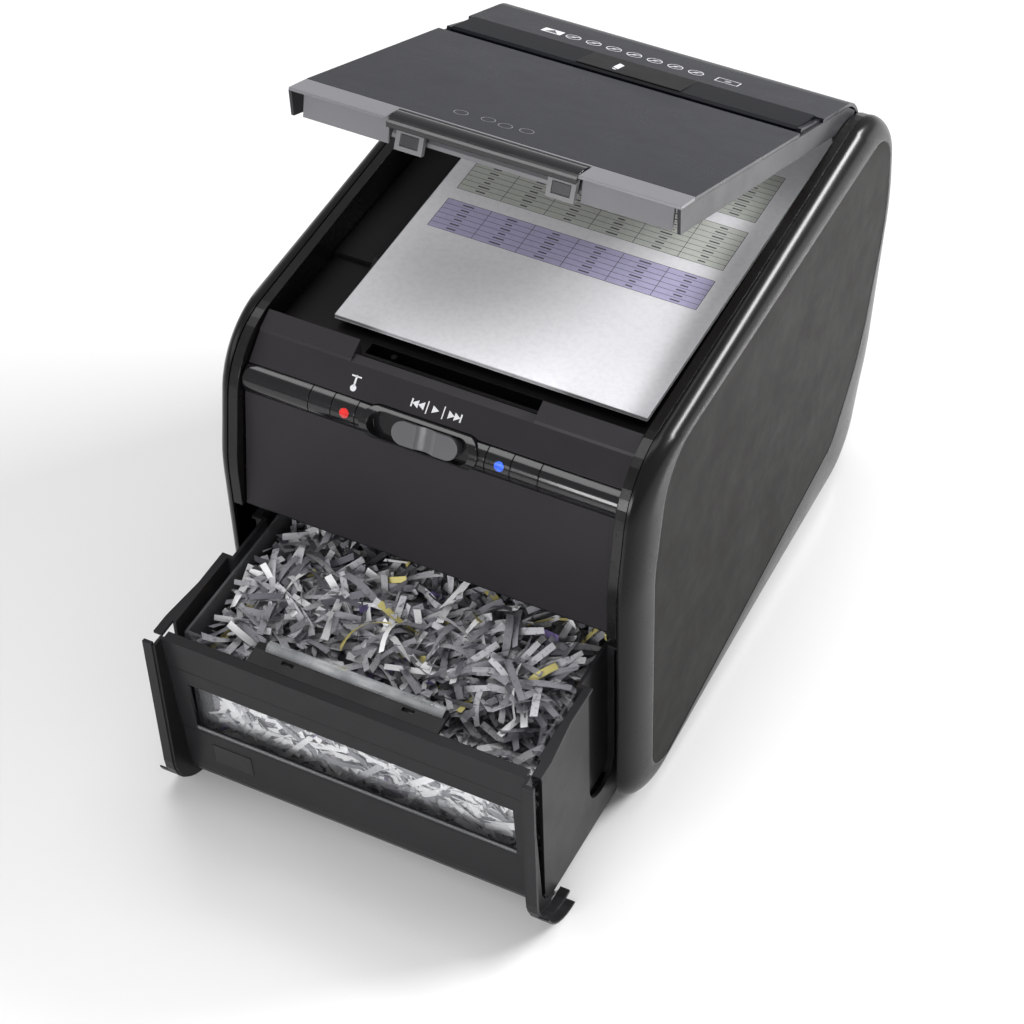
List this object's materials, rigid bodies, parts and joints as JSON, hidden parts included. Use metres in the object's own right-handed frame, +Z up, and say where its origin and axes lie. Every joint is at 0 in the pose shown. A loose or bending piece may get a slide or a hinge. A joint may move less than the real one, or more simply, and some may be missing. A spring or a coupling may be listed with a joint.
{
  "type": "paper shredder",
  "caption": "Desktop cross-cut paper shredder with a tilting lid over a sheet tray, a manual feed slot and a pull-out shred bin",
  "frame": {"origin": "on the floor under the middle of the whole object, with the drawer out and the lid open as at rest", "axes": "+X to the object's right seen from its front, +Y from the front to the back, +Z up"},
  "size_m": [0.29, 0.5192, 0.4266],
  "materials": {
    "shell_plastic": "satin",
    "inset_plastic": "satin",
    "trim_plastic": "satin",
    "dark_plastic": "satin",
    "panel_plastic": "satin",
    "bar_gloss": "gloss",
    "lid_plastic": "satin",
    "slot_gloss": "gloss",
    "tab_plastic": "satin",
    "knob_gloss": "gloss",
    "red_lens": "gloss",
    "blue_lens": "gloss",
    "clear_plastic": "gloss",
    "steel": "satin",
    "bronze": "satin",
    "motor_paint": "satin",
    "board_green": "satin",
    "gear_plastic": "satin",
    "roller_rubber": "matte",
    "foot_rubber": "matte"
  },
  "bodies": {
    "chassis": {"base_plate": "dark_plastic", "feet": "foot_rubber", "side_frame_left": "trim_plastic", "side_frame_right": "trim_plastic", "side_shell_left": "shell_plastic", "side_shell_right": "shell_plastic", "inset_panel_left": "inset_plastic", "inset_panel_right": "inset_plastic", "front_panel": "panel_plastic", "control_fascia": "panel_plastic", "bar_segments": "bar_gloss", "slider_bezel": "bar_gloss", "red_lens": "red_lens", "blue_lens": "blue_lens", "paper_tray": "dark_plastic", "paper_guide": "dark_plastic", "back_cover": "dark_plastic", "shred_chute": "dark_plastic", "cutter_plate_left": "steel", "cutter_plate_right": "steel", "cutter_bushes": "bronze", "rods_and_pins": "steel", "front_stripper": "steel", "rear_stripper": "steel", "motor_body": "motor_paint", "circuit_board": "board_green", "inlet_gland": "dark_plastic", "switch_bezel": "dark_plastic", "drawer_switch": "dark_plastic", "lid_switch": "dark_plastic", "hinge_pins": "steel", "drawer_rails": "dark_plastic", "frame_screws": "steel"},
    "lid": {"lid_panel": "lid_plastic", "lid_nose": "lid_plastic", "lid_frame": "lid_plastic", "handle_plate": "bar_gloss", "latch_tabs": "tab_plastic", "slot_bar": "slot_gloss", "rear_hood": "lid_plastic"},
    "presser": {"pressure_plate": "dark_plastic"},
    "front_cutter": {"front_cutter_shaft": "steel", "front_cutter_discs": "steel", "front_sync_gear": "steel"},
    "rear_cutter": {"rear_cutter_shaft": "steel", "rear_cutter_discs": "steel", "rear_drive_gears": "steel"},
    "feed": {"feed_shaft": "steel", "feed_rollers": "roller_rubber"},
    "feed_gear": {"feed_idler": "gear_plastic"},
    "reduction": {"reduction_gear": "gear_plastic"},
    "pinion": {"motor_pinion": "steel"},
    "drawer": {"drawer_box": "dark_plastic", "drawer_front": "panel_plastic", "bin_tub": "clear_plastic", "bin_hood": "dark_plastic"},
    "switch_knob": {"slider_knob": "knob_gloss"},
    "rocker": {"power_rocker": "dark_plastic"},
    "drawer_button": {"drawer_plunger": "gear_plastic"},
    "lid_button": {"lid_plunger": "gear_plastic"}
  },
  "joints": [
    {"name": "lid_hinge", "type": "hinge", "parent": "chassis", "child": "lid", "pos_m": [0, 0.22089, 0.267], "axis": [-1, 0, 0], "range_deg": [-25.5, 16]},
    {"name": "presser_slide", "type": "slide", "parent": "lid", "child": "presser", "axis": [0, 0.3827, 0.9239], "range_m": [-0.0005, 0.004], "stiffness_N_per_m": 400},
    {"name": "rear_cutter_spin", "type": "hinge", "parent": "chassis", "child": "rear_cutter", "pos_m": [0, 0.11289, 0.205], "axis": [1, 0, 0], "continuous": true},
    {"name": "front_cutter_spin", "type": "hinge", "parent": "chassis", "child": "front_cutter", "pos_m": [0, 0.08289, 0.205], "axis": [1, 0, 0], "continuous": true},
    {"name": "feed_gear_spin", "type": "hinge", "parent": "chassis", "child": "feed_gear", "pos_m": [0, 0.07686, 0.23821], "axis": [1, 0, 0], "continuous": true},
    {"name": "feed_spin", "type": "hinge", "parent": "chassis", "child": "feed", "pos_m": [0, 0.07189, 0.2655], "axis": [1, 0, 0], "continuous": true},
    {"name": "reduction_spin", "type": "hinge", "parent": "chassis", "child": "reduction", "pos_m": [0, 0.14889, 0.22], "axis": [1, 0, 0], "continuous": true},
    {"name": "pinion_spin", "type": "hinge", "parent": "chassis", "child": "pinion", "pos_m": [0, 0.18489, 0.22], "axis": [1, 0, 0], "continuous": true},
    {"name": "drawer_slide", "type": "slide", "parent": "chassis", "child": "drawer", "axis": [0, -1, 0], "range_m": [-0.108, 0.012]},
    {"name": "switch_slide", "type": "slide", "parent": "chassis", "child": "switch_knob", "axis": [1, 0, 0], "range_m": [-0.006, 0.006]},
    {"name": "rocker_tilt", "type": "hinge", "parent": "chassis", "child": "rocker", "pos_m": [0.0665, 0.23639, 0.07], "axis": [1, 0, 0], "range_deg": [0, 12]},
    {"name": "drawer_button_slide", "type": "slide", "parent": "chassis", "child": "drawer_button", "axis": [0, 1, 0], "range_m": [0, 0.0025], "stiffness_N_per_m": 200},
    {"name": "lid_button_slide", "type": "slide", "parent": "chassis", "child": "lid_button", "axis": [0, 0, -1], "range_m": [0, 0.0025], "stiffness_N_per_m": 200}
  ],
  "couplings": [
    {"joint": "front_cutter_spin", "follows": "rear_cutter_spin", "ratio": -1},
    {"joint": "feed_gear_spin", "follows": "rear_cutter_spin", "ratio": 0.8},
    {"joint": "feed_spin", "follows": "rear_cutter_spin", "ratio": -1.6667},
    {"joint": "reduction_spin", "follows": "rear_cutter_spin", "ratio": -3.3333},
    {"joint": "pinion_spin", "follows": "rear_cutter_spin", "ratio": 16.667}
  ]
}
